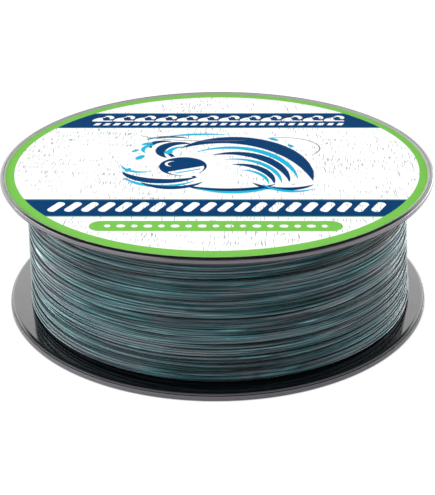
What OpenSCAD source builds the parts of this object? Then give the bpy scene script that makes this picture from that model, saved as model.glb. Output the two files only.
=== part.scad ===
// Filler spool of monofilament fishing line, standing on its lower flange.
// Z runs up along the spool's axis, and the origin is the centre of the face that the spool stands on.
// Two equal flanges are pressed with pins onto the ends of a ribbed hub, a printed label lies in the seat
// of the upper flange, and the line is wound on the hub between the flanges.

/* [Flanges] */
// Outer diameter of both flanges
flange_d = 110; // [106:1:130]
// Thickness of a flange from the face of its rim to its inner face
flange_t = 2; // [1.8:0.1:3]
// Width of the raised rim round the outer face
rim_w = 0.9; // [0.6:0.1:2]
// Depth of the label's seat inside the rim
seat_depth = 0.5; // [0.3:0.05:0.9]
// Height of the band round the edge, next to the face of the rim
band_h = 1.25; // [0.9:0.05:1.4]
// Step from the band in to the thinner lip beside the line
lip_step = 0.4; // [0.3:0.05:0.8]
// Radius of the rounded edges of the band and the lip
edge_r = 0.2; // [0.1:0.05:0.25]

/* [Hub] */
// Length of the hub, which is the clear width between the flanges
hub_len = 32.4; // [26:0.2:38]
// Outer diameter of the barrel that the line is wound on
barrel_d = 70; // [68:1:76]
// Wall of the barrel
barrel_wall = 1.8; // [1.2:0.1:2.6]
// Diameter of the bore that turns on a spindle
bore_d = 16; // [12:0.5:18]
// Wall of the arbor tube round the bore
arbor_wall = 2.2; // [1.6:0.1:3]
// Number of ribs between the arbor tube and the barrel
rib_count = 6; // [4:1:8]
// Thickness of a rib
rib_t = 1.6; // [1:0.1:2.4]

/* [Pinned joints] */
// Diameter of the press pins on the flanges
pin_d = 3; // [2:0.1:3.6]
// Length of a press pin above the inner face of its flange
pin_len = 4; // [3:0.5:8]
// Height of the tapered tip of a pin
pin_tip_h = 0.6; // [0.3:0.1:1]
// Diameter of the circle that the pins stand on
pin_circle_d = 54; // [50:1:56]
// Clearance all round a pin in its hole
pin_gap = 0.04; // [0.02:0.01:0.1]
// Wall of the boss round a pin's hole
boss_wall = 1.3; // [1:0.1:2]
// Depth of a pin's hole past the tip of the pin
hole_spare = 0.6; // [0.4:0.1:2]
// Wall of the collar that centres a flange in the barrel
collar_wall = 1.2; // [0.8:0.1:1.6]
// Height of the collar above the inner face of its flange
collar_h = 2; // [1:0.1:4]
// Clearance of the collar in the barrel and beside the ribs
collar_gap = 0.1; // [0.05:0.05:0.3]

/* [Label] */
// Thickness of the label with its adhesive
label_t = 0.2; // [0.1:0.05:0.3]
// Clearance between the label's edge and the rim
label_gap = 0.1; // [0.05:0.05:0.5]

/* [Line] */
// Diameter of the wound line beside the upper flange
wound_top_d = 98; // [92:0.4:102]
// Diameter of the wound line beside the lower flange
wound_bottom_d = 99.2; // [92:0.2:102]
// Number of turns in the outer layer, each of which stands for a few strands side by side
turn_count = 24; // [12:1:24]
// Gap between two turns of the outer layer
turn_gap = 0.42; // [0.41:0.01:0.8]
// Clearance of the wound line from the barrel and the flanges
wound_gap = 0.1; // [0.05:0.05:0.3]
// Clearance round an end of the line in its pocket between the inner layers
pocket_gap = 0.25; // [0.1:0.05:0.5]

/* [Hidden] */

$fn = 96;
merge = 0.5;                              // how far two solids of one moulding run into each other
cut = 1;                                  // how far a cutting solid runs past a face

// Flanges and hub
spool_h = hub_len + 2 * flange_t;
flange_r = flange_d / 2;
lip_r = flange_r - lip_step;
seat_r = flange_r - rim_w;
bore_r = bore_d / 2;
arbor_r = bore_r + arbor_wall;
barrel_r = barrel_d / 2;
barrel_inner_r = barrel_r - barrel_wall;
collar_r = barrel_inner_r - collar_gap;
collar_slot_w = rib_t + 2 * collar_gap;
pin_r = pin_d / 2;
pin_tip_r = pin_r * 0.7;
pin_hole_r = pin_r + pin_gap;
pin_hole_depth = pin_len + hole_spare;
boss_r = pin_hole_r + boss_wall;
rib_angle = 360 / rib_count;
first_rib_angle = rib_angle / 2;

// Wound line: the outer layer climbs from flange to flange, and both of its ends dive into the inner layers
wound_low = flange_t + wound_gap;
wound_high = spool_h - flange_t - wound_gap;
turn_d = (wound_high - wound_low - turn_count * turn_gap) / (turn_count + 1);
first_turn_z = wound_low + turn_d / 2;
last_turn_z = wound_high - turn_d / 2;
ends_angle = 90;                          // where the outer layer starts and stops, at the back
rings_per_turn = 24;
tube_sides = 6;
ring_count = turn_count * rings_per_turn;
chord_sag = max(wound_top_d, wound_bottom_d) / 2 * (1 - cos(180 / rings_per_turn));
dive_r = 2 * turn_d;                      // bend of the line where it dives
dive_steps = 4;
pocket_length = dive_r + turn_d / 2 + pocket_gap;
pocket_width = turn_d + 2 * pocket_gap;

// Outer radius of the wound line, of the middle of its outer layer, and of the layers below, at height z
function wound_r(z) = let(share = (z - wound_low) / (wound_high - wound_low))
    (wound_bottom_d + (wound_top_d - wound_bottom_d) * share) / 2;
function turn_r(z) = wound_r(z) - turn_d / 2;
function inner_layers_r(z) = wound_r(z) - turn_d - chord_sag - wound_gap / 2;

// Flat directions out from the axis and along a turn
function outward(a) = [cos(a), sin(a), 0];
function along(a) = [-sin(a), cos(a), 0];

// A ring of the outer layer is [place, direction]
function turn_ring(i) =
    let(a = ends_angle + i * 360 / rings_per_turn)
    let(z = first_turn_z + (last_turn_z - first_turn_z) * i / ring_count)
    let(climb = (last_turn_z - first_turn_z) / turn_count / (2 * PI * turn_r(z)))
    [turn_r(z) * outward(a) + [0, 0, z], along(a) + [0, 0, climb]];

// A ring b degrees round the bend of a dive at height z: side is -1 before the first turn, 1 after the last
function dive_ring(z, side, b) =
    let(centre = (turn_r(z) - dive_r) * outward(ends_angle) + [0, 0, z])
    [
        centre + dive_r * (cos(b) * outward(ends_angle) + side * sin(b) * along(ends_angle)),
        cos(b) * along(ends_angle) - side * sin(b) * outward(ends_angle)
    ];

// The cut end of the line, one line diameter straight past the bend
function end_ring(z, side) =
    let(bend_end = dive_ring(z, side, 90))
    [bend_end[0] - turn_d * outward(ends_angle), bend_end[1]];

outer_layer_rings = [
    end_ring(first_turn_z, -1),
    for (i = [0:dive_steps - 1]) dive_ring(first_turn_z, -1, 90 - i * 90 / dive_steps),
    for (i = [0:ring_count]) turn_ring(i),
    for (i = [1:dive_steps]) dive_ring(last_turn_z, 1, i * 90 / dive_steps),
    end_ring(last_turn_z, 1)
];

// Corners of a tube's cross-section about a ring
function section(ring, r) =
    let(forward = ring[1] / norm(ring[1]))
    let(side = cross(forward, [0, 0, 1]) / norm(cross(forward, [0, 0, 1])))
    let(up = cross(side, forward))
    [for (k = [0:tube_sides - 1]) ring[0] + r * (cos(k * 360 / tube_sides) * side + sin(k * 360 / tube_sides) * up)];

// Least distance between middles of the line that lie half a turn or more apart along it
function least_spacing(rings) = min([
    for (i = [0:len(rings) - 1 - rings_per_turn / 2])
        min([for (j = [i + rings_per_turn / 2:len(rings) - 1]) norm(rings[i][0] - rings[j][0])])
]);

// A rounded corner of radius r about [x, z], through a quarter turn from angle a
function round_corner(x, z, r, a) = [for (b = [0:22.5:90]) [x + r * cos(a + b), z + r * sin(a + b)]];

// Places its children at each rib, with X along the rib
module at_ribs() {
    for (i = [0:rib_count - 1]) rotate(first_rib_angle + i * rib_angle) children();
}

// Disc of a flange, outer face down: a raised rim round the label's seat and a lip beside the line
module flange_disc() {
    rotate_extrude() polygon(concat(
        [[bore_r, flange_t], [bore_r, seat_depth], [seat_r, seat_depth], [seat_r, 0]],
        round_corner(flange_r - edge_r, edge_r, edge_r, -90),
        round_corner(flange_r - edge_r, band_h - edge_r, edge_r, 0),
        [[lip_r, band_h]],
        round_corner(lip_r - edge_r, flange_t - edge_r, edge_r, 0)
    ));
}

// Collar that centres a flange in the barrel, open where the ribs pass
module centring_collar() {
    difference() {
        translate([0, 0, flange_t - merge]) cylinder(r = collar_r, h = merge + collar_h);
        translate([0, 0, flange_t - merge - cut]) cylinder(r = collar_r - collar_wall, h = merge + collar_h + 2 * cut);
        at_ribs() translate([collar_r - collar_wall - cut, -collar_slot_w / 2, flange_t])
            cube([collar_wall + 2 * cut, collar_slot_w, collar_h + cut]);
    }
}

// Press pin with a tapered tip
module press_pin() {
    translate([0, 0, flange_t - merge]) cylinder(r = pin_r, h = merge + pin_len - pin_tip_h);
    translate([0, 0, flange_t + pin_len - pin_tip_h]) cylinder(r1 = pin_r, r2 = pin_tip_r, h = pin_tip_h);
}

module flange_moulding() {
    flange_disc();
    centring_collar();
    at_ribs() translate([pin_circle_d / 2, 0, 0]) press_pin();
}

module lower_flange() {
    color("#1b1c1e") flange_moulding();
}

module upper_flange() {
    color("#1b1c1e") translate([0, 0, spool_h]) mirror([0, 0, 1]) flange_moulding();
}

// Outline of the hub across its axis: barrel, arbor tube, ribs between them and a pin boss on each rib
module hub_outline() {
    difference() {
        circle(r = barrel_r);
        difference() {
            circle(r = barrel_inner_r);
            circle(r = arbor_r);
            at_ribs() translate([0, -rib_t / 2]) square([barrel_inner_r + merge, rib_t]);
            at_ribs() translate([pin_circle_d / 2, 0]) circle(r = boss_r);
        }
        circle(r = bore_r);
    }
}

module hub() {
    color("#26272a") translate([0, 0, flange_t]) difference() {
        linear_extrude(height = hub_len) hub_outline();
        at_ribs() translate([pin_circle_d / 2, 0, -cut]) cylinder(r = pin_hole_r, h = pin_hole_depth + cut);
        at_ribs() translate([pin_circle_d / 2, 0, hub_len - pin_hole_depth])
            cylinder(r = pin_hole_r, h = pin_hole_depth + cut);
    }
}

// Printed label, whole across the bore
module face_label() {
    color("#f4f5f2") translate([0, 0, spool_h - seat_depth]) cylinder(r = seat_r - label_gap, h = label_t);
}

// Pocket between the inner layers where an end of the outer layer dives
module dive_pocket(z, side) {
    floor_r = turn_r(z) - dive_r - turn_d - wound_gap / 2;
    rotate(ends_angle) translate([floor_r, side > 0 ? 0 : -pocket_length, z - pocket_width / 2])
        cube([flange_r - floor_r, pocket_length, pocket_width]);
}

// Line below the outer layer, with a pocket for each end of that layer
module line_inner_layers() {
    color("#2f474c") difference() {
        rotate_extrude() polygon([
            [barrel_r + wound_gap, wound_low],
            [inner_layers_r(wound_low), wound_low],
            [inner_layers_r(wound_high), wound_high],
            [barrel_r + wound_gap, wound_high]
        ]);
        dive_pocket(first_turn_z, -1);
        dive_pocket(last_turn_z, 1);
    }
}

// Outer layer of the line, one tube from end to end
module line_outer_turns() {
    echo(turn_diameter = turn_d, least_gap_between_turns = least_spacing(outer_layer_rings) - turn_d);
    corners = [for (ring = outer_layer_rings) each section(ring, turn_d / 2)];
    last = len(corners) - tube_sides;
    sides = [
        for (first = [0:tube_sides:last - 1], k = [0:tube_sides - 1])
            let(a = first + k)
            let(b = first + (k + 1) % tube_sides)
            each [[a, b, b + tube_sides], [a, b + tube_sides, a + tube_sides]]
    ];
    start_cap = [for (k = [1:tube_sides - 2]) [0, k + 1, k]];
    end_cap = [for (k = [1:tube_sides - 2]) [last, last + k, last + k + 1]];
    color("#3f6a6d") polyhedron(points = corners, faces = concat(sides, start_cap, end_cap));
}

upper_flange();
lower_flange();
hub();
face_label();
line_inner_layers();
line_outer_turns();
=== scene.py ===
import math

import bpy
import numpy as np
from mathutils import Euler, Matrix, Vector
from mathutils.geometry import delaunay_2d_cdt


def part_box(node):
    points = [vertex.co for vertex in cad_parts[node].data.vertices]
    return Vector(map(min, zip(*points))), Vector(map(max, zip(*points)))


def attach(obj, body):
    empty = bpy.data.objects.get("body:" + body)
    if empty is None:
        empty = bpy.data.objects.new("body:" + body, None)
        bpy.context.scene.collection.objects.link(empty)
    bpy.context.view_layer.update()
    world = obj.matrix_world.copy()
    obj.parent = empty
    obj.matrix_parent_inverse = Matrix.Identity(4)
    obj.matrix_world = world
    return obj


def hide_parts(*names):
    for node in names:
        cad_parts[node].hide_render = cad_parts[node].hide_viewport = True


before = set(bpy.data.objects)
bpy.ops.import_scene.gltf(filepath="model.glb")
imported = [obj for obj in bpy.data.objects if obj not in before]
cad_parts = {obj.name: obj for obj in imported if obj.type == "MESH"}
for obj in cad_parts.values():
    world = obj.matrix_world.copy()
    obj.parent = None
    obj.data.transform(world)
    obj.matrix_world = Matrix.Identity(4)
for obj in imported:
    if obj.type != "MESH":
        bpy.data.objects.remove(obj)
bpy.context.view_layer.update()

mm = 0.001


# ---- Camera -------------------------------------------------------------------------------------
# A long lens in front of the spool and 25 degrees above it, turned a little about its own axis.
# The view is shifted, as the object stands high in the picture.
spool_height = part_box("upper_flange")[1].z
camera_elevation = math.radians(25.5)
camera_distance = 308.8 * mm
camera_lens_mm = 85.3
camera_roll = math.radians(-0.43)

aim = Vector((0, 0, spool_height / 2))
camera = bpy.data.objects.new("camera", bpy.data.cameras.new("camera"))
camera.location = aim + camera_distance * Vector((0, -math.cos(camera_elevation), math.sin(camera_elevation)))
camera.rotation_euler = (Euler((math.radians(90) - camera_elevation, 0, 0)).to_matrix()
                         @ Matrix.Rotation(camera_roll, 3, "Z")).to_euler()
camera.data.lens = camera_lens_mm
camera.data.shift_x = 0.0004
camera.data.shift_y = -0.0449
camera.data.clip_start = 0.01
bpy.context.collection.objects.link(camera)
bpy.context.scene.camera = camera


# ---- Stage --------------------------------------------------------------------------------------
# A white sweep, a large soft lamp at the front left, a weak one at the right, a narrow strip over the front and
# one at each side, of which the right one is low and well behind. A bright wall stands all round, strongest at
# both sides and dark behind the camera and overhead.
def hex_colour(text):
    """Linear colour of an sRGB hex code"""
    parts = [int(text[i:i + 2], 16) / 255 for i in (1, 3, 5)]
    return tuple(p / 12.92 if p <= 0.04045 else ((p + 0.055) / 1.055) ** 2.4 for p in parts) + (1.0,)


def add_node(tree, kind, inputs=None, **settings):
    """Adds a node; inputs maps its sockets to values or to the sockets that feed them"""
    made = tree.nodes.new(kind)
    for name, value in settings.items():
        setattr(made, name, value)
    for socket, value in (inputs or {}).items():
        if isinstance(value, bpy.types.NodeSocket):
            tree.links.new(value, made.inputs[socket])
        else:
            made.inputs[socket].default_value = value
    return made


def empty_material(name):
    """A material with only an output node"""
    material = bpy.data.materials.new(name)
    material.use_nodes = True
    material.node_tree.nodes.clear()
    add_node(material.node_tree, "ShaderNodeOutputMaterial")
    return material


def set_surface(material, shader):
    """Joins a shader to the material's output"""
    tree = material.node_tree
    tree.links.new(shader.outputs[0], tree.nodes["Material Output"].inputs["Surface"])


def area_lamp(name, place, width, height, power):
    """A soft lamp that faces the spool"""
    lamp = bpy.data.lights.new(name, "AREA")
    lamp.shape = "RECTANGLE"
    lamp.size = width
    lamp.size_y = height
    lamp.energy = power
    holder = bpy.data.objects.new(name, lamp)
    holder.location = place
    holder.rotation_euler = (aim - Vector(place)).to_track_quat("-Z", "Y").to_euler()
    bpy.context.collection.objects.link(holder)


floor_half = 3.0
floor_z = -0.02 * mm
around = ((-1, -1), (1, -1), (1, 1), (-1, 1))
floor_mesh = bpy.data.meshes.new("floor")
floor_mesh.from_pydata([(x * floor_half, y * floor_half, floor_z) for x, y in around], [], [(0, 1, 2, 3)])
floor = bpy.data.objects.new("floor", floor_mesh)
bpy.context.collection.objects.link(floor)
floor_paint = empty_material("white_sweep")
tree = floor_paint.node_tree
lit = add_node(tree, "ShaderNodeBsdfDiffuse", {"Color": (0.16, 0.16, 0.16, 1)})
# The sweep's glow is darkened by ambient occlusion close to the spool: a painted contact shadow.
near = add_node(tree, "ShaderNodeAmbientOcclusion", {"Distance": 0.35 * mm}, samples=8)
near = add_node(tree, "ShaderNodeMath", {0: near.outputs["AO"], 1: 0.9}, operation="MULTIPLY")
glow = add_node(tree, "ShaderNodeEmission", {"Color": (1, 1, 1, 1), "Strength": near.outputs[0]})
lit_and_glow = add_node(tree, "ShaderNodeAddShader", {0: lit.outputs[0], 1: glow.outputs[0]})
plain = add_node(tree, "ShaderNodeBsdfDiffuse", {"Color": (0.8, 0.8, 0.8, 1)})
path = add_node(tree, "ShaderNodeLightPath")
seen = add_node(tree, "ShaderNodeMath", {0: path.outputs["Is Camera Ray"], 1: path.outputs["Is Glossy Ray"]},
                operation="MAXIMUM")
seen = add_node(tree, "ShaderNodeMath", {0: seen.outputs[0], 1: path.outputs["Is Transmission Ray"]},
                operation="MAXIMUM")
set_surface(floor_paint, add_node(tree, "ShaderNodeMixShader",
                                  {0: seen.outputs[0], 1: plain.outputs[0], 2: lit_and_glow.outputs[0]}))
floor_mesh.materials.append(floor_paint)

world = bpy.data.worlds.new("surround")
bpy.context.scene.world = world
world.use_nodes = True
tree = world.node_tree
tree.nodes.clear()
direction = add_node(tree, "ShaderNodeTexCoord")
split = add_node(tree, "ShaderNodeSeparateXYZ", {0: direction.outputs["Generated"]})
behind = add_node(tree, "ShaderNodeMapRange", {"Value": split.outputs["Y"], "From Min": -0.6, "From Max": 0.1,
                                               "To Min": 0.25, "To Max": 2.8}, interpolation_type="SMOOTHSTEP")
beside = add_node(tree, "ShaderNodeMath", {0: split.outputs["X"]}, operation="ABSOLUTE")
strips = add_node(tree, "ShaderNodeMapRange", {"Value": beside.outputs[0], "From Min": 0.4, "From Max": 0.65,
                                               "To Min": 0.0, "To Max": 0.5}, interpolation_type="SMOOTHSTEP")
strips = add_node(tree, "ShaderNodeMath", {0: strips.outputs[0], 1: behind.outputs[0]}, operation="MULTIPLY")
wall = add_node(tree, "ShaderNodeMath", {0: strips.outputs[0], 1: behind.outputs[0]}, operation="ADD")
low = add_node(tree, "ShaderNodeMapRange", {"Value": split.outputs["Z"], "From Min": 0.49, "From Max": 0.6,
                                            "To Min": 1.0, "To Max": 0.05}, interpolation_type="SMOOTHSTEP")
wall = add_node(tree, "ShaderNodeMath", {0: wall.outputs[0], 1: low.outputs[0]}, operation="MULTIPLY")
sky = add_node(tree, "ShaderNodeBackground", {"Color": (1, 1, 1, 1), "Strength": wall.outputs[0]})
tree.links.new(sky.outputs[0], add_node(tree, "ShaderNodeOutputWorld").inputs["Surface"])

area_lamp("key", (-0.62, -0.55, 0.33), 0.65, 0.65, 4.0)
area_lamp("fill", (0.62, -0.4, 0.42), 0.5, 0.5, 0.5)
area_lamp("front_strip", (-0.2, -0.78, 0.62), 1.0, 0.12, 2.0)
area_lamp("left_strip", (-0.88, 0.16, 0.28), 0.7, 0.08, 3.0)
area_lamp("right_strip", (0.7, 0.5, 0.1), 0.7, 0.08, 3.2)
bpy.context.scene.view_settings.view_transform = "Standard"


# ---- Hub ----------------------------------------------------------------------------------------
# The ribbed barrel, injection-moulded in black polystyrene. Only its bore shows, from below.
# The CAD solid is right as it is and takes the plastic's material.
# Sizes of the plastic's patterns; the skin's grain is drawn as coarse as it needs to show
flow_line_size = 22.22 * mm
hair_scratch_size = (0.3846 * mm, 11.11 * mm, 2.5 * mm)
rubbed_patch_size = 3.846 * mm
skin_grain_size = 1.333 * mm


def black_polystyrene(name, dark, light, dullness, scuffs, skin_gloss=0.0, shine=0.5):
    """Black plastic from a polished mould: near-black with soft reflections, faint flow lines and hair
    scratches; dullness is its roughness where it is clean, scuffs how far rubbed, dusty patches dull it
    further, skin_gloss how much of a resin-rich skin lies on top, and shine its specular level, 0.5 if sound"""
    material = empty_material(name)
    tree = material.node_tree
    place = add_node(tree, "ShaderNodeTexCoord").outputs["Object"]
    flow = add_node(tree, "ShaderNodeTexNoise", {"Vector": place, "Scale": 1 / flow_line_size, "Detail": 3.0,
                                                 "Roughness": 0.5, "Distortion": 0.6})
    tone = add_node(tree, "ShaderNodeMix", {0: flow.outputs["Fac"], 6: hex_colour(dark),
                                            7: hex_colour(light)}, data_type="RGBA")
    across = add_node(tree, "ShaderNodeMapping", {"Vector": place, "Rotation": (0.0, 0.0, 0.6),
                                                  "Scale": tuple(1 / size for size in hair_scratch_size)})
    hairs = add_node(tree, "ShaderNodeTexNoise", {"Vector": across.outputs[0], "Scale": 1.0, "Detail": 2.0})
    hair_lines = add_node(tree, "ShaderNodeMapRange", {"Value": hairs.outputs["Fac"], "From Min": 0.66,
                                                       "From Max": 0.74, "To Min": 0.0, "To Max": 0.10})
    rubbed = add_node(tree, "ShaderNodeTexNoise", {"Vector": place, "Scale": 1 / rubbed_patch_size,
                                                   "Detail": 6.0})
    rubbed_patches = add_node(tree, "ShaderNodeMapRange", {"Value": rubbed.outputs["Fac"], "From Min": 0.42,
                                                           "From Max": 0.75, "To Min": dullness,
                                                           "To Max": dullness + scuffs})
    roughness = add_node(tree, "ShaderNodeMath", {0: rubbed_patches.outputs[0], 1: hair_lines.outputs[0]},
                         operation="ADD")
    skin = add_node(tree, "ShaderNodeTexNoise", {"Vector": place, "Scale": 1 / skin_grain_size, "Detail": 2.0})
    relief = add_node(tree, "ShaderNodeBump", {"Height": skin.outputs["Fac"], "Strength": 0.12,
                                               "Distance": 0.02 * mm})
    set_surface(material, add_node(tree, "ShaderNodeBsdfPrincipled", {
        "Base Color": tone.outputs[2], "Roughness": roughness.outputs[0], "IOR": 1.59,
        "Specular IOR Level": shine, "Normal": relief.outputs[0], "Coat Weight": skin_gloss,
        "Coat Roughness": 0.6 * dullness, "Coat IOR": 1.6}))
    return material


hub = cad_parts["hub"]
hub.data.materials.clear()
hub.data.materials.append(black_polystyrene("hub_polystyrene", "#060709", "#0D0F13", 0.16, 0.10))


# ---- Lower flange -------------------------------------------------------------------------------
# A thin disc of the same black polystyrene, revolved from its section: a raised rim round a seat for a label,
# a slightly crowned edge band painted grey as a painted reflection of the bright surroundings, with a rougher
# finish of its own, and a stepped-in lip that slopes off at its edge. On its inner face stand the collar arcs
# and the press pins that hold it in the hub.
flange_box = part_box("lower_flange")
flange_r = flange_box[1].y
bore_r = 8.0 * mm
disc_t = 2.0 * mm
rim_w = 0.9 * mm
seat_depth = 0.5 * mm
band_h = 1.25 * mm
lip_step = 0.4 * mm
lip_slope_w = 0.5 * mm
lip_fall = 0.25 * mm
lip_foot_h = 0.2 * mm
flat_margin = 0.15 * mm
lip_r = flange_r - lip_step
rim_edge_r = 0.05 * mm
corner_low_r = 0.1 * mm
slope_angle = 11
crown_angle = 17
bore_chamfer = 0.3 * mm
collar_inner_r = 31.9 * mm
collar_outer_r = 33.1 * mm
collar_h = 2.0 * mm
collar_slot_w = 1.8 * mm
pin_r = 1.5 * mm
pin_h = 4.0 * mm
pin_tip_h = 0.6 * mm
pin_tip_r = 0.7 * pin_r
pin_core_r = 0.02 * mm
root_depth = 0.2 * mm
pin_circle_r = 27.0 * mm
rib_angles = [math.radians(30 + 60 * i) for i in range(6)]
round_steps = 288


def arc(x, z, r, start, stop, steps=5):
    """Points of an arc about (x, z), from angle start to stop in degrees"""
    angles = [math.radians(start + (stop - start) * i / steps) for i in range(steps + 1)]
    return [(x + r * math.cos(a), z + r * math.sin(a)) for a in angles]


def revolve(vertices, faces, profile, start=0.0, stop=2 * math.pi, steps=round_steps, middle=(0.0, 0.0)):
    """Adds a closed profile of (radius, height) points turned about the axis through middle"""
    whole = stop - start > 2 * math.pi - 0.001
    rows = steps if whole else steps + 1
    first, count = len(vertices), len(profile)
    for i in range(rows):
        a = start + (stop - start) * i / steps
        vertices += [(middle[0] + r * math.cos(a), middle[1] + r * math.sin(a), z) for r, z in profile]
    for i in range(steps):
        here, there = first + i * count, first + (i + 1) % rows * count
        for k in range(count):
            n = (k + 1) % count
            faces.append((here + k, there + k, there + n, here + n))
    if not whole:
        faces.append(tuple(first + k for k in range(count)))
        faces.append(tuple(first + (rows - 1) * count + k for k in reversed(range(count))))


def make_piece(name, vertices, faces, slot, smooth_below=30):
    """A mesh object with outward normals, smooth but for edges sharper than that many degrees"""
    mesh = bpy.data.meshes.new(name)
    mesh.from_pydata(vertices, [], faces)
    mesh.validate()
    mesh.shade_smooth()
    mesh.set_sharp_from_angle(angle=math.radians(smooth_below))
    piece = bpy.data.objects.new(name, mesh)
    bpy.context.collection.objects.link(piece)
    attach(piece, "root")
    return piece


def flange_geometry(base, up, rim_fall, corner_top_r):
    """Vertices and faces of a flange whose rim face is at height base and whose pins point along up (1 or
    -1); its rim falls outwards by rim_fall and turns into the edge band with a rounding of corner_top_r"""
    lean = math.radians(crown_angle)
    steep = math.sin(math.radians(90 - slope_angle))
    corner_top_h, corner_low_h = corner_top_r * (steep - math.sin(lean)), corner_low_r * (1 - math.sin(lean))
    crown_h = band_h - rim_fall - corner_top_h - corner_low_h
    crown_r = crown_h / 2 / math.sin(lean)
    crown_x, crown_z = flange_r - crown_r, rim_fall + corner_top_h + crown_h / 2
    top_reach, low_reach = crown_r - corner_top_r, crown_r - corner_low_r
    seat_r = flange_r - rim_w
    disc = (
        [(bore_r, seat_depth + bore_chamfer), (bore_r + bore_chamfer, seat_depth), (seat_r, seat_depth)]
        + arc(seat_r + rim_edge_r, rim_edge_r, rim_edge_r, 180, 270 + slope_angle)
        + arc(crown_x + top_reach * math.cos(lean), crown_z - top_reach * math.sin(lean), corner_top_r,
              slope_angle - 90, -crown_angle)
        + arc(crown_x, crown_z, crown_r, -crown_angle, crown_angle, 8)[1:]
        + arc(crown_x + low_reach * math.cos(lean), crown_z + low_reach * math.sin(lean), corner_low_r,
              crown_angle, 90)[1:]
        + [(lip_r, band_h), (lip_r, band_h + lip_foot_h), (lip_r, disc_t - lip_fall)]
        + [(lip_r - lip_slope_w, disc_t), (lip_r - lip_slope_w - flat_margin, disc_t), (bore_r, disc_t)]
    )
    vertices, faces = [], []
    revolve(vertices, faces, disc)
    sunk = disc_t - root_depth
    slot_angle = collar_slot_w / 2 / collar_outer_r
    collar = [(collar_inner_r, sunk), (collar_outer_r, sunk), (collar_outer_r, disc_t + collar_h),
              (collar_inner_r, disc_t + collar_h)]
    pin = [(pin_core_r, sunk), (pin_r, sunk), (pin_r, disc_t + pin_h - pin_tip_h),
           (pin_tip_r, disc_t + pin_h), (pin_core_r, disc_t + pin_h)]
    for a in rib_angles:
        revolve(vertices, faces, collar, a + slot_angle, a + math.radians(60) - slot_angle, 40)
        revolve(vertices, faces, pin, steps=32, middle=(pin_circle_r * math.cos(a), pin_circle_r * math.sin(a)))
    placed = [(x, y, base + up * z) for x, y, z in vertices]
    return placed, [tuple(reversed(f)) for f in faces] if up < 0 else faces


def finish_flange(flange, base, edge_plastic, painted_reflection_low, painted_reflection_high):
    """Polished plastic all over but for the upright faces of its edge, which have the edge plastic, painted
    grey as a reflection, between those heights from the rim's face"""
    flange.data.materials.append(flange_plastic)
    flange.data.materials.append(edge_plastic)
    for face in flange.data.polygons:
        height = abs(face.center.z - base)
        upright = face.center.xy.length > lip_r - 0.05 * mm and abs(face.normal.z) < 0.7
        face.material_index = 1 if upright and painted_reflection_low < height < painted_reflection_high else 0


flange_plastic = black_polystyrene("flange_polystyrene", "#040506", "#090B10", 0.08, 0.06)
# The edge plastics' grey is painted reflection of the bright surroundings on the edge band; the lower one gives
# up most of its specular for it.
edge_reflection_plastic = black_polystyrene("edge_painted_reflection_polystyrene", "#413F47", "#524F59", 0.30, 0.12, 0.8)
lower_edge_reflection_plastic = black_polystyrene("lower_edge_painted_reflection_polystyrene", "#5C5B60", "#67666B", 0.45, 0.12, 0.0, 0.1)
lower_geometry = flange_geometry(0.0, 1, rim_fall=0.02 * mm, corner_top_r=0.15 * mm)
lower_flange = make_piece("lower_flange_disc", *lower_geometry, "black_plastic")
finish_flange(lower_flange, 0.0, lower_edge_reflection_plastic, painted_reflection_low=0.05 * mm, painted_reflection_high=band_h + lip_foot_h)
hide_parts("lower_flange")


# ---- Upper flange -------------------------------------------------------------------------------
# The same moulding the other way up, so that its rim stands round the label. Its rim falls further outwards,
# and the painted grey reflection starts where the rim has turned into the edge band.
upper_geometry = flange_geometry(spool_height, -1, rim_fall=0.12 * mm, corner_top_r=0.45 * mm)
upper_flange = make_piece("upper_flange_disc", *upper_geometry, "black_plastic")
finish_flange(upper_flange, spool_height, edge_reflection_plastic, painted_reflection_low=0.42 * mm, painted_reflection_high=band_h)
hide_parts("upper_flange")


# ---- Face label ---------------------------------------------------------------------------------
# A printed white film label with a matt varnish, stuck in the upper flange's seat a degree askew. Its margin
# is bare film and turns up against the rim; it is coloured a pale grey-green, widest at the back, as a painted
# reflection of the bright surroundings. The print is one mesh, cut along every outline of the artwork, with an
# ink for each area: a green ring, two navy bands, a green pill, and a float in a breaking wave.
label_low, label_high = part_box("face_label")
label_askew = -1.1
crack_count = 120

# Places and sizes on the label, in millimetres from its middle; a round outline gives x, y and its radii
label_r = label_high.y / mm
ring_inner = (0.0, -0.15, 51.4, 50.3)
print_edge = (-0.1, -0.44, 53.43)
turned_up_h = 0.26
navy_bands = ((25.2, 36.2), (-32.5, -23.5))
sheet = []


def paint(points, ink):
    """Prints a closed outline, in millimetres from the label's middle, over what is already there"""
    c, s = math.cos(math.radians(label_askew)), math.sin(math.radians(label_askew))
    sheet.append((np.array(points, float) @ np.array([[c, s], [-s, c]]), ink))


def ellipse(x, y, rx, ry, steps=64, turn=0.0):
    """Points of an ellipse, turned by an angle in degrees"""
    t = np.linspace(0, 2 * np.pi, steps, endpoint=False)
    u, v = rx * np.cos(t), ry * np.sin(t)
    c, s = math.cos(math.radians(turn)), math.sin(math.radians(turn))
    return np.stack([x + c * u - s * v, y + s * u + c * v], 1)


def box_points(x0, y0, x1, y1, slant=0.0):
    """Points of an upright box whose top is moved sideways by slant"""
    return [(x0, y0), (x1, y0), (x1 + slant, y1), (x0 + slant, y1)]


def pill(x0, y0, x1, y1, steps=12):
    """Points of a box with round ends"""
    r, y = (y1 - y0) / 2, (y0 + y1) / 2
    return arc(x1 - r, y, r, -90, 90, steps) + arc(x0 + r, y, r, 90, 270, steps)


def stroke(x, y, rx, ry, start, stop, width, ink, blunt=0.8, steps=28):
    """A brush stroke along an arc of an ellipse, thickest in the middle and pointed at its ends"""
    t = np.linspace(0, 1, steps + 1)
    a = np.radians(start + (stop - start) * t)
    middle = np.stack([x + rx * np.cos(a), y + ry * np.sin(a)], 1)
    out = np.stack([np.cos(a) * ry, np.sin(a) * rx], 1)
    out /= np.linalg.norm(out, axis=1)[:, None]
    half = (width / 2 * np.sin(np.pi * t) ** blunt)[:, None]
    paint(np.concatenate([(middle + out * half), (middle - out * half)[-2:0:-1]]), ink)


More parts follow.
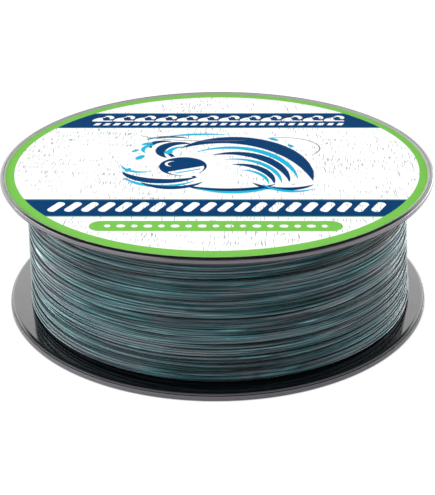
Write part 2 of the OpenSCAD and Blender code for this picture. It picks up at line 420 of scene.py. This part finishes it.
# Hair cracks in the aged white print, steep and crooked
marks = np.random.RandomState(11)
for i in range(crack_count):
    x, y = marks.uniform(-50, 50), marks.uniform(-46, 52)
    length, width = marks.uniform(1.5, 8.0) * marks.uniform(0.4, 1.0), marks.uniform(0.06, 0.13)
    down = np.linspace(0, 1, 5)
    bends = np.cumsum(np.concatenate([[0], marks.uniform(-0.06, 0.06, 4)]))
    across = x + length * (bends + marks.uniform(-0.12, 0.3) * down)
    half = width * np.sin(np.pi * (0.08 + 0.84 * down))
    left = np.stack([across - half, y - length * down], 1)
    right = np.stack([across + half, y - length * down], 1)
    paint(np.concatenate([left, right[::-1]]), "crack_grey")

# Bands, each with a thin line of green along its edges, and the pill below them
for low, high in navy_bands:
    paint(box_points(-56, low - 0.45, 56, high + 0.45), "edge_green")
    paint(box_points(-56, low, 56, high), "navy")
paint(pill(-28.6, -40.6, 29.3, -35.2), "green")

# Upper band: a row of breaking wave crests over a line of slanted dashes
for i in range(12):
    x = -35.2 + i * 5.9
    crest = (arc(x + 2.6, 30.2, 2.9, 180, 78, 10) + arc(x + 4.1, 33.0, 1.6, 128, -60, 9)
             + arc(x + 3.3, 32.6, 1.15, -20, 150, 8) + arc(x + 4.9, 30.2, 2.1, 168, 180, 2))
    paint(crest, "white")
    paint(box_points(x + 0.1, 30.0, x + 5.4, 30.7), "white")
for i in range(26):
    x = -34.8 + i * 2.7
    paint(box_points(x, 26.9, x + 1.5, 28.6, 0.7), "white")

# Lower band: a laid rope, drawn as its slanted strands
for i in range(20):
    x = -39.0 + i * 4.0
    strand = arc(x + 0.8, -29.0, 1.2, 165, 300, 8) + arc(x + 2.2, -26.0, 1.2, -15, 120, 8)
    paint(strand, "white")

# Pill: dots and dashes
for i in range(17):
    x = -24.4 + i * 3.1
    paint(pill(x - 1.0, -38.65, x + 1.0, -37.15) if i % 2 else ellipse(x, -37.9, 0.75, 0.75, 16), "white")

# Breaking wave: its back and the bands of water under it, the claws of its crest, the sea and the spray
for item in (
    (3.0, -13.0, 21.0, 28.6, 2, 128, 5.6, "navy"), (3.2, -13.2, 17.2, 23.4, 5, 122, 2.2, "cyan"),
    (3.8, -13.4, 14.4, 19.6, 2, 112, 3.0, "navy"), (4.4, -13.6, 11.8, 15.8, 0, 104, 1.6, "cyan"),
    (5.0, -13.8, 9.4, 12.4, 0, 98, 2.2, "navy"), (5.8, -14.0, 7.2, 9.0, 0, 90, 1.2, "cyan"),
    (-9.6, 7.6, 5.4, 5.8, 60, 232, 3.0, "navy"), (-9.2, 6.8, 3.4, 3.8, 66, 250, 1.5, "cyan"),
    (-13.6, 11.6, 4.4, 3.2, 70, 214, 1.9, "navy"), (-16.6, 8.8, 3.0, 3.4, 80, 226, 1.3, "cyan"),
    (-13.0, 15.4, 6.0, 2.6, 30, 176, 1.3, "navy"), (-3.0, 15.4, 14.0, 4.6, 66, 140, 1.4, "cyan"),
    (-13.0, -3.6, 11.2, 8.6, 196, 318, 2.9, "navy"), (-13.4, -6.0, 10.4, 9.2, 204, 322, 1.7, "cyan"),
    (-11.0, -8.6, 9.0, 7.6, 212, 330, 1.9, "navy"), (-19.0, -1.0, 5.4, 5.4, 190, 300, 1.2, "cyan"),
    (3.0, -7.4, 15.0, 10.4, 222, 322, 2.4, "navy"), (4.0, -9.6, 13.0, 9.4, 226, 326, 1.4, "cyan"),
    (17.0, -9.6, 9.0, 7.4, 206, 322, 2.0, "navy"), (19.0, -11.4, 8.0, 7.0, 200, 310, 1.3, "cyan"),
):
    stroke(*item)

# Float: a ball in two colours on a slanted stem with a small tip, and the line that runs from it
tilt = math.radians(24)
ball = (-8.6, -2.6)
along_stem = np.array([-math.sin(tilt), math.cos(tilt)])
across_stem = np.array([math.cos(tilt), math.sin(tilt)])


def on_float(places):
    """Places on the float, from pairs of right and up along its stem"""
    return [tuple(np.array(ball) + u * across_stem + v * along_stem) for u, v in places]


paint(on_float([(-0.7, 5.0), (0.7, 5.0), (0.4, 10.0), (-0.4, 10.0)]), "navy")
paint(on_float(arc(0, 10.4, 1.2, 0, 345, 24)), "cyan")
paint(on_float([(-0.6, -5.0), (0.6, -5.0), (0.4, -8.4), (-0.4, -8.4)]), "navy")
paint(on_float(arc(0, 0, 6.9, 0, 355, 72)), "white")
paint(on_float(arc(0, 0, 6.1, 0, 355, 72)), "navy")
paint(on_float(arc(0, -1.0, 5.0, 190, 350, 24)), "white")
paint(on_float(arc(0, -1.4, 4.0, 205, 335, 18)), "cyan")
paint(on_float(arc(0, -2.2, 4.0, 203, 337, 18)), "white")
paint(on_float(arc(-2.0, 2.7, 1.8, 0, 342, 20)), "white")
paint(on_float(arc(-1.4, 2.3, 1.8, 0, 342, 20)), "navy")
stroke(-2.0, 21.0, 20.0, 6.0, 196, 300, 0.36, "line_grey", 0.12)
stroke(17.0, 10.0, 10.0, 7.6, -40, 116, 0.36, "line_grey", 0.12)
for x, y, r, turn in (
    (-20.0, 3.4, 0.95, 60), (-21.6, 8.0, 0.65, 50), (-18.8, 13.0, 0.85, 30), (-17.0, 17.4, 0.6, 10),
    (15.0, 16.2, 0.8, -40), (19.4, 11.4, 0.65, -60), (-22.4, -5.0, 0.7, 75),
):
    paint(ellipse(x, y, 1.9 * r, r, 20, turn), "cyan")


def inside(points, outline):
    """Which of the points lie inside a closed outline"""
    found = np.zeros(len(points), bool)
    near = np.all((points > outline.min(0)) & (points < outline.max(0)), axis=1)
    x, y = points[near, 0][:, None], points[near, 1][:, None]
    a, b = outline, np.roll(outline, -1, axis=0)
    rise = np.where(b[:, 1] == a[:, 1], 1e-12, b[:, 1] - a[:, 1])
    crosses = ((a[:, 1] > y) != (b[:, 1] > y)) & (x < (b[:, 0] - a[:, 0]) * (y - a[:, 1]) / rise + a[:, 0])
    found[near] = crosses.sum(1) % 2 == 1
    return found


rim_outline = ellipse(0, 0, label_r, label_r, round_steps)
flat_outline = ellipse(print_edge[0], print_edge[1], print_edge[2], print_edge[2], round_steps)
field_outline = ellipse(*ring_inner, round_steps)
corners, edges = [], []
for outline in [rim_outline, flat_outline, field_outline] + [points for points, ink in sheet]:
    first = len(corners)
    corners += [Vector(p) for p in outline]
    edges += [(first + k, first + (k + 1) % len(outline)) for k in range(len(outline))]
cut_print = delaunay_2d_cdt(corners, edges, [], 0, 1e-5)
flat = np.array([tuple(p) for p in cut_print[0]])
triangles = np.array(cut_print[2])
centres = flat[triangles].mean(1)
within_disc = inside(centres, rim_outline)
triangles, centres = triangles[within_disc], centres[within_disc]
inks = ["white", "green", "edge_green", "navy", "cyan", "line_grey", "crack_grey", "margin_reflection"]
ink_of = np.full(len(triangles), inks.index("white"))
for points, ink in sheet:
    ink_of[inside(centres, points)] = inks.index(ink)
ink_of[~inside(centres, field_outline)] = inks.index("green")
# The margin outside the print's edge gets a pale grey-green: a painted reflection, widest at the back.
ink_of[~inside(centres, flat_outline)] = inks.index("margin_reflection")

used = np.unique(triangles)
new_index = np.full(len(flat), -1)
new_index[used] = np.arange(len(used))
flat = flat[used]
radius = np.hypot(flat[:, 0], flat[:, 1])
from_print = flat - np.array(print_edge[:2])
out = np.hypot(from_print[:, 0], from_print[:, 1])
along = from_print @ np.array(print_edge[:2]) / np.maximum(out, 1e-9)
out_at_rim = np.sqrt(along ** 2 - print_edge[0] ** 2 - print_edge[1] ** 2 + label_r ** 2) - along
rise = turned_up_h * np.clip((out - print_edge[2]) / (out_at_rim - print_edge[2]), 0, 1)
vertices = [(x * mm, y * mm, label_high.z + up * mm) for (x, y), up in zip(flat, rise)]
faces = [tuple(int(new_index[k]) for k in t) for t in triangles]
least_rim_r = label_r * math.cos(math.pi / round_steps) - 0.003
on_rim = [int(k) for k in np.argsort(np.arctan2(flat[:, 1], flat[:, 0])) if radius[k] > least_rim_r]
below = len(vertices)
vertices += [(vertices[k][0], vertices[k][1], label_low.z) for k in on_rim]
count = len(on_rim)
faces += [(on_rim[k], below + k, below + (k + 1) % count, on_rim[(k + 1) % count]) for k in range(count)]
faces.append(tuple(reversed(range(below, below + count))))
label = make_piece("label_film", vertices, faces, "label_film", smooth_below=5)
label.data.polygons.foreach_set(
    "material_index", np.concatenate([ink_of, np.zeros(count + 1, int)]).astype(np.int32))


# Sizes of the patterns in the print, the film and the varnish
mottle_size = 2.381 * mm
fleck_size = (0.3 * mm, 2.8 * mm)
flecked_patch_size = 13.333 * mm
varnish_wear_size = 7.692 * mm
film_ripple_size = 16.667 * mm


def printed_ink(name, colour, second, specks=0.0):
    """Ink under matt varnish: even with a slight mottle, a weak soft sheen and a faint ripple of the film;
    specks is how strongly fine upright flecks show, as in an aged print"""
    material = empty_material(name)
    tree = material.node_tree
    place = add_node(tree, "ShaderNodeTexCoord").outputs["Object"]
    mottle = add_node(tree, "ShaderNodeTexNoise", {"Vector": place, "Scale": 1 / mottle_size, "Detail": 4.0})
    tone = add_node(tree, "ShaderNodeMix", {0: mottle.outputs["Fac"], 6: hex_colour(colour),
                                            7: hex_colour(second)}, data_type="RGBA")
    colour_out = tone.outputs[2]
    if specks:
        upright = add_node(tree, "ShaderNodeMapping", {"Vector": place, "Scale": (*fleck_size, 1.0),
                                                       "Rotation": (0.0, 0.0, -0.1)}, vector_type="TEXTURE")
        fleck = add_node(tree, "ShaderNodeTexNoise", {"Vector": upright.outputs[0], "Scale": 1.0,
                                                      "Detail": 0.0})
        patch = add_node(tree, "ShaderNodeTexNoise", {"Vector": place, "Scale": 1 / flecked_patch_size,
                                                      "Detail": 3.0})
        needed = add_node(tree, "ShaderNodeMapRange", {"Value": patch.outputs["Fac"], "From Min": 0.35,
                                                       "From Max": 0.7, "To Min": 0.76, "To Max": 0.60})
        shown = add_node(tree, "ShaderNodeMath", {0: fleck.outputs["Fac"], 1: needed.outputs[0]},
                         operation="SUBTRACT")
        strength = add_node(tree, "ShaderNodeMapRange", {"Value": shown.outputs[0], "From Min": 0.0,
                                                         "From Max": 0.04, "To Min": 0.0, "To Max": specks})
        flecked = add_node(tree, "ShaderNodeMix", {0: strength.outputs[0], 6: colour_out,
                                                   7: hex_colour("#7B7982")}, data_type="RGBA")
        colour_out = flecked.outputs[2]
    wear = add_node(tree, "ShaderNodeTexNoise", {"Vector": place, "Scale": 1 / varnish_wear_size,
                                                 "Detail": 5.0})
    gloss = add_node(tree, "ShaderNodeMapRange", {"Value": wear.outputs["Fac"], "From Min": 0.3,
                                                  "From Max": 0.7, "To Min": 0.42, "To Max": 0.55})
    ripple = add_node(tree, "ShaderNodeTexNoise", {"Vector": place, "Scale": 1 / film_ripple_size,
                                                   "Detail": 2.0})
    relief = add_node(tree, "ShaderNodeBump", {"Height": ripple.outputs["Fac"], "Strength": 0.15,
                                               "Distance": 0.1 * mm})
    set_surface(material, add_node(tree, "ShaderNodeBsdfPrincipled", {
        "Base Color": colour_out, "Roughness": gloss.outputs[0], "IOR": 1.45, "Specular IOR Level": 0.002,
        "Normal": relief.outputs[0]}))
    return material


for name, colour, second, specks in (
    ("white", "#FAFAFA", "#F5F6F5", 0.7), ("green", "#71B94B", "#79C054", 0.0),
    ("edge_green", "#4C8F78", "#5A9A80", 0.0), ("navy", "#033765", "#063E6E", 0.0),
    ("cyan", "#18ABD0", "#22B4D6", 0.0), ("line_grey", "#6F6C72", "#7C797F", 0.0),
    ("crack_grey", "#85838C", "#A9A7AE", 0.0), ("margin_reflection", "#9DA09A", "#A6A9A2", 0.0),
):
    label.data.materials.append(printed_ink("ink_" + name, colour, second, specks))
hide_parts("face_label")


# ---- Line, inner layers -------------------------------------------------------------------------
# Everything below the outer layers: one closed ring from the barrel out, whose outside has a groove
# between each two of its level turns. It is wound fuller towards the lower flange, at the front and right
# most of all. The camouflage nylon's material follows in the next section.
line_d = 0.44 * mm
inner_low, inner_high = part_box("line_inner_layers")
barrel_r = 35.1 * mm
wound_bottom_r = 50.2 * mm
wound_top_r = 48.9 * mm
inner_sink = 1.38 * mm
wound_lean = (0.65 * mm, -1.2 * mm)
inner_steps = 160
turn_half_arc = 72


def fullness(z):
    """1 beside the lower flange, falling to 0 beside the upper one, at height z"""
    return ((inner_high.z - z) / (inner_high.z - inner_low.z)) ** 2


def wound_r(z):
    """Outer radius of the winding at height z"""
    return wound_top_r + (wound_bottom_r - wound_top_r) * fullness(z)


turns = int((inner_high.z - inner_low.z) / (1.03 * line_d))
pitch = (inner_high.z - inner_low.z) / turns
profile = [(barrel_r, inner_high.z), (barrel_r, inner_low.z)]
for i in range(turns):
    middle_z = inner_low.z + (i + 0.5) * pitch
    profile += arc(wound_r(middle_z) - inner_sink, middle_z, line_d / 2, -turn_half_arc, turn_half_arc, 4)
vertices, faces = [], []
revolve(vertices, faces, profile, steps=inner_steps)
leaning = [r > barrel_r + 1 * mm for r, z in profile] * inner_steps
vertices = [(x + wound_lean[0] * fullness(z), y + wound_lean[1] * fullness(z), z) if leans else (x, y, z)
            for (x, y, z), leans in zip(vertices, leaning)]
inner_line = make_piece("line_inner_turns", vertices, faces, "camo_line", 70)
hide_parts("line_inner_layers")


# ---- Line, outer turns --------------------------------------------------------------------------
# One nylon monofilament of 0.4 mm, dyed in camouflage stretches. It climbs once over the inner layers in
# close turns, comes down in loose bundles, and goes up once more in a few open turns that cross the others.
# Both ends dive between the turns below.
samples_per_turn = 96
tube_sides = 6
climbing_share = 0.5
luck = np.random.RandomState(5)


def smooth_step(share):
    """A share from 0 to 1, eased at both ends"""
    return share * share * (3 - 2 * share)


def smooth_random(t, spacing, size):
    """A random value within +-size that changes smoothly along t, with a new target every spacing"""
    knots = luck.uniform(-size, size, int(t.max() / spacing) + 3)
    at = t / spacing
    eased = smooth_step(at - np.floor(at))
    return knots[at.astype(int)] * (1 - eased) + knots[at.astype(int) + 1] * eased


def sway(t, angle, size, spacing=2.5):
    """How far the turns stray up or down round the spool; turns close together stray alike"""
    return (smooth_random(t, spacing, size) * np.sin(angle + smooth_random(t, 4, 3.1))
            + smooth_random(t, spacing, size * 0.6) * np.sin(2 * angle + smooth_random(t, 4, 3.1))
            + smooth_random(t, spacing, size * 0.3) * np.sin(3 * angle + smooth_random(t, 4, 3.1)))


def laid_heights(steps):
    """Places on a pass, counted in turns, and the height gained up to each; its turns rise by the given
    steps, each within part of its turn"""
    where = np.arange(len(steps) * samples_per_turn) / samples_per_turn
    turn = where.astype(int)
    begin = luck.uniform(0.0, 1 - climbing_share, len(steps))[turn]
    share = np.clip((where - turn - begin) / climbing_share, 0, 1)
    done = np.concatenate([[0], np.cumsum(steps)])[:-1][turn]
    return where, done + steps[turn] * smooth_step(share)


lowest = inner_low.z + 0.52 * line_d
highest = inner_high.z - 0.52 * line_d
climb = highest - lowest


def bundled(most, least_gap, widest_gap):
    """Steps from turn to turn of a pass that lays its turns in bundles of two to most, with gaps between
    them that are given in diameters of the line"""
    steps = []
    while sum(steps) < climb:
        steps += [line_d * 1.02] * luck.randint(1, most) + [luck.uniform(least_gap, widest_gap) * line_d]
    return np.array(steps)


# Each pass: its steps, whether it comes down, and in millimetres how far it strays and how deep it lies. The
# last pass keeps one step of every bundle of two, so its turns are even.
rings = []
for steps, down, size, depth in (
    (bundled(7, 1.3, 1.9), False, 0.10, 0.88), (bundled(4, 1.5, 2.6), True, 0.34, 0.44),
    (bundled(2, 1.8, 3.4)[::2], False, 0.85, 0.02),
):
    where, rise = laid_heights(steps * climb / steps.sum())
    angle = math.pi / 2 + 2 * math.pi * where
    z = (highest - rise if down else lowest + rise) + sway(where, angle, size) * mm
    z = lowest + np.abs(z - lowest)
    z = highest - np.abs(highest - z)
    r = wound_r(z) - line_d / 2 - depth * mm + smooth_random(where, 0.23, 0.03) * mm
    shift_x, shift_y = (lean * fullness(z) for lean in wound_lean)
    rings.append(np.stack([r * np.cos(angle) + shift_x, r * np.sin(angle) + shift_y, z], 1))


def joined(parts, blend=24):
    """One path through all parts, eased from the end of each into the start of the next"""
    path = parts[0]
    for part in parts[1:]:
        share = smooth_step(np.linspace(0, 1, blend)[:, None])
        eased = part[:blend].copy()
        radius = np.linalg.norm(eased[:, :2], axis=1, keepdims=True)
        before = np.linalg.norm(path[-1, :2])
        eased[:, :2] *= (before * (1 - share) + radius * share) / radius
        eased[:, 2:] = path[-1, 2] * (1 - share) + eased[:, 2:] * share
        path = np.concatenate([path, eased, part[blend:]])
    return path


def dive(path, depth=1.6 * mm, steps=10):
    """Both ends of the path bent inwards until they lie below the turns beneath"""
    bent = path.copy()
    for k in range(steps):
        inward = depth * (1 - math.sin(math.pi / 2 * k / steps))
        for index in (k, -1 - k):
            bent[index, :2] *= 1 - inward / np.linalg.norm(path[index, :2])
    return bent


def tube(path, radius, sides):
    """Vertices, faces and distances along the path of a closed tube"""
    forward = np.gradient(path, axis=0)
    forward /= np.linalg.norm(forward, axis=1)[:, None]
    side = np.cross(forward, (0, 0, 1))
    side /= np.linalg.norm(side, axis=1)[:, None]
    up = np.cross(side, forward)
    angles = 2 * np.pi * np.arange(sides) / sides
    spread = np.cos(angles)[None, :, None] * side[:, None] + np.sin(angles)[None, :, None] * up[:, None]
    points = (path[:, None] + radius * spread).reshape(-1, 3)
    start = np.arange(len(path) - 1)[:, None] * sides
    k, n = np.arange(sides), (np.arange(sides) + 1) % sides
    quads = np.stack([start + n, start + k, start + sides + k, start + sides + n], 2).reshape(-1, 4)
    last = (len(path) - 1) * sides
    caps = [tuple(range(sides)), tuple(last + i for i in reversed(range(sides)))]
    length = np.concatenate([[0], np.cumsum(np.linalg.norm(np.diff(path, axis=0), axis=1))])
    return points.tolist(), [tuple(q) for q in quads.tolist()] + caps, np.repeat(length, sides)


vertices, faces, along_line = tube(dive(joined(rings)), line_d / 2, tube_sides)
outer_line = make_piece("line_outer_strand", vertices, faces, "camo_line", 70)
outer_line.data.attributes.new("along_line", "FLOAT", "POINT").data.foreach_set("value", along_line)
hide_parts("line_outer_turns")


# Sizes of the dye's patterns, and of the painted highlight and shade across bundles. Stretches and shades are
# counted per metre of line, about 28 and 63 mm long.
# Where no distance along the line is stored, it is worked out from the height, for turns of 48 mm radius that
# lie 0.45 mm apart. The surface's grain is drawn as coarse as it needs to show.
stretches_per_m = 36.0
shades_per_m = 16.0
line_per_height = 2 * math.pi * 48 / 0.45
shared_dye_size = (34 * mm, 34 * mm, 5 * mm)
bundle_shade_size = (95 * mm, 95 * mm, 2.1 * mm)
surface_grain_size = 2 * mm


def camo_nylon(name, distance_name, least_light, most_light):
    """Extruded monofilament with a soft gloss, dyed in teal, slate and brown-grey stretches, which follow the
    distance along the line, or the height where that isn't stored. Neighbouring turns share their colour in
    patches, and turns differ in how light they are, within the given limits, which also make darker copies
    as painted shade. Broad lighter and darker streaks across the bundles are painted highlight and painted
    shade, and the lightest parts are made paler as a painted highlight"""
    material = empty_material(name)
    tree = material.node_tree
    place = add_node(tree, "ShaderNodeTexCoord").outputs["Object"]
    if distance_name:
        distance = add_node(tree, "ShaderNodeAttribute", attribute_name=distance_name).outputs["Fac"]
    else:
        height = add_node(tree, "ShaderNodeSeparateXYZ", {0: place}).outputs["Z"]
        distance = add_node(tree, "ShaderNodeMath", {0: height, 1: line_per_height}, operation="MULTIPLY")
        distance = distance.outputs[0]
    stretch = add_node(tree, "ShaderNodeTexNoise", {"W": distance, "Scale": stretches_per_m, "Detail": 2.0,
                                                    "Roughness": 0.6}, noise_dimensions="1D")
    wide = add_node(tree, "ShaderNodeMapping", {"Vector": place, "Scale": shared_dye_size},
                    vector_type="TEXTURE")
    patch = add_node(tree, "ShaderNodeTexNoise", {"Vector": wide.outputs[0], "Scale": 1.0, "Detail": 2.0})
    dye = add_node(tree, "ShaderNodeMix", {0: 0.5, 2: stretch.outputs["Fac"], 3: patch.outputs["Fac"]})
    ramp = add_node(tree, "ShaderNodeValToRGB", {"Fac": dye.outputs[0]})
    stops = ((0.32, "#1A3034"), (0.40, "#2D5659"), (0.46, "#27454A"), (0.51, "#2E444A"), (0.56, "#3D454A"),
             (0.61, "#273B41"), (0.66, "#48666A"), (0.72, "#86A6A8"))
    while len(ramp.color_ramp.elements) < len(stops):
        ramp.color_ramp.elements.new(0.5)
    for element, (position, colour) in zip(ramp.color_ramp.elements, stops):
        element.position = position
        element.color = hex_colour(colour)
    turn_tone = add_node(tree, "ShaderNodeTexNoise", {"W": distance, "Scale": shades_per_m, "Detail": 2.0,
                                                      "Roughness": 0.6}, noise_dimensions="1D")
    value = add_node(tree, "ShaderNodeMapRange", {"Value": turn_tone.outputs["Fac"], "From Min": 0.3,
                                                  "From Max": 0.7, "To Min": least_light,
                                                  "To Max": most_light})
    # Broad lighter and darker streaks across neighbouring turns: painted highlights and painted shade between
    # bundles.
    level = add_node(tree, "ShaderNodeMapping", {"Vector": place, "Scale": bundle_shade_size},
                     vector_type="TEXTURE")
    bundle = add_node(tree, "ShaderNodeTexNoise", {"Vector": level.outputs[0], "Scale": 1.0, "Detail": 3.0,
                                                   "Roughness": 0.6})
    bundle_light_and_shade = add_node(tree, "ShaderNodeMapRange", {"Value": bundle.outputs["Fac"], "From Min": 0.32,
                                                        "From Max": 0.68, "To Min": 0.15, "To Max": 2.5})
    both = add_node(tree, "ShaderNodeMath", {0: value.outputs[0], 1: bundle_light_and_shade.outputs[0]},
                    operation="MULTIPLY")
    both = add_node(tree, "ShaderNodeMath", {0: both.outputs[0], 1: 1.3}, operation="POWER")
    both = add_node(tree, "ShaderNodeMath", {0: both.outputs[0], 1: 2.4}, operation="MINIMUM")
    # The lightest parts are made paler, towards white: a painted highlight.
    highlight_paleness = add_node(tree, "ShaderNodeMapRange", {"Value": both.outputs[0], "From Min": 0.8, "From Max": 2.6,
                                                     "To Min": 1.3, "To Max": 0.65})
    toned = add_node(tree, "ShaderNodeHueSaturation", {"Color": ramp.outputs["Color"], "Value": both.outputs[0],
                                                       "Saturation": highlight_paleness.outputs[0]})
    fine = add_node(tree, "ShaderNodeTexNoise", {"Vector": place, "Scale": 1 / surface_grain_size,
                                                 "Detail": 3.0})
    gloss = add_node(tree, "ShaderNodeMapRange", {"Value": fine.outputs["Fac"], "To Min": 0.12, "To Max": 0.28})
    relief = add_node(tree, "ShaderNodeBump", {"Height": fine.outputs["Fac"], "Strength": 0.1,
                                               "Distance": 0.02 * mm})
    set_surface(material, add_node(tree, "ShaderNodeBsdfPrincipled", {
        "Base Color": toned.outputs["Color"], "Roughness": gloss.outputs[0], "IOR": 1.53,
        "Specular IOR Level": 0.3, "Sheen Weight": 0.15, "Sheen Roughness": 0.35,
        "Sheen Tint": hex_colour("#D5EDEE"), "Normal": relief.outputs[0]}))
    return material


# The inner turns take the same dye made far darker: painted shade for turns that lie under the outer ones.
inner_line.data.materials.append(camo_nylon("camo_nylon_inner_painted_shade", "", 0.06, 0.4))
outer_line.data.materials.append(camo_nylon("camo_nylon_outer", "along_line", 0.14, 2.05))
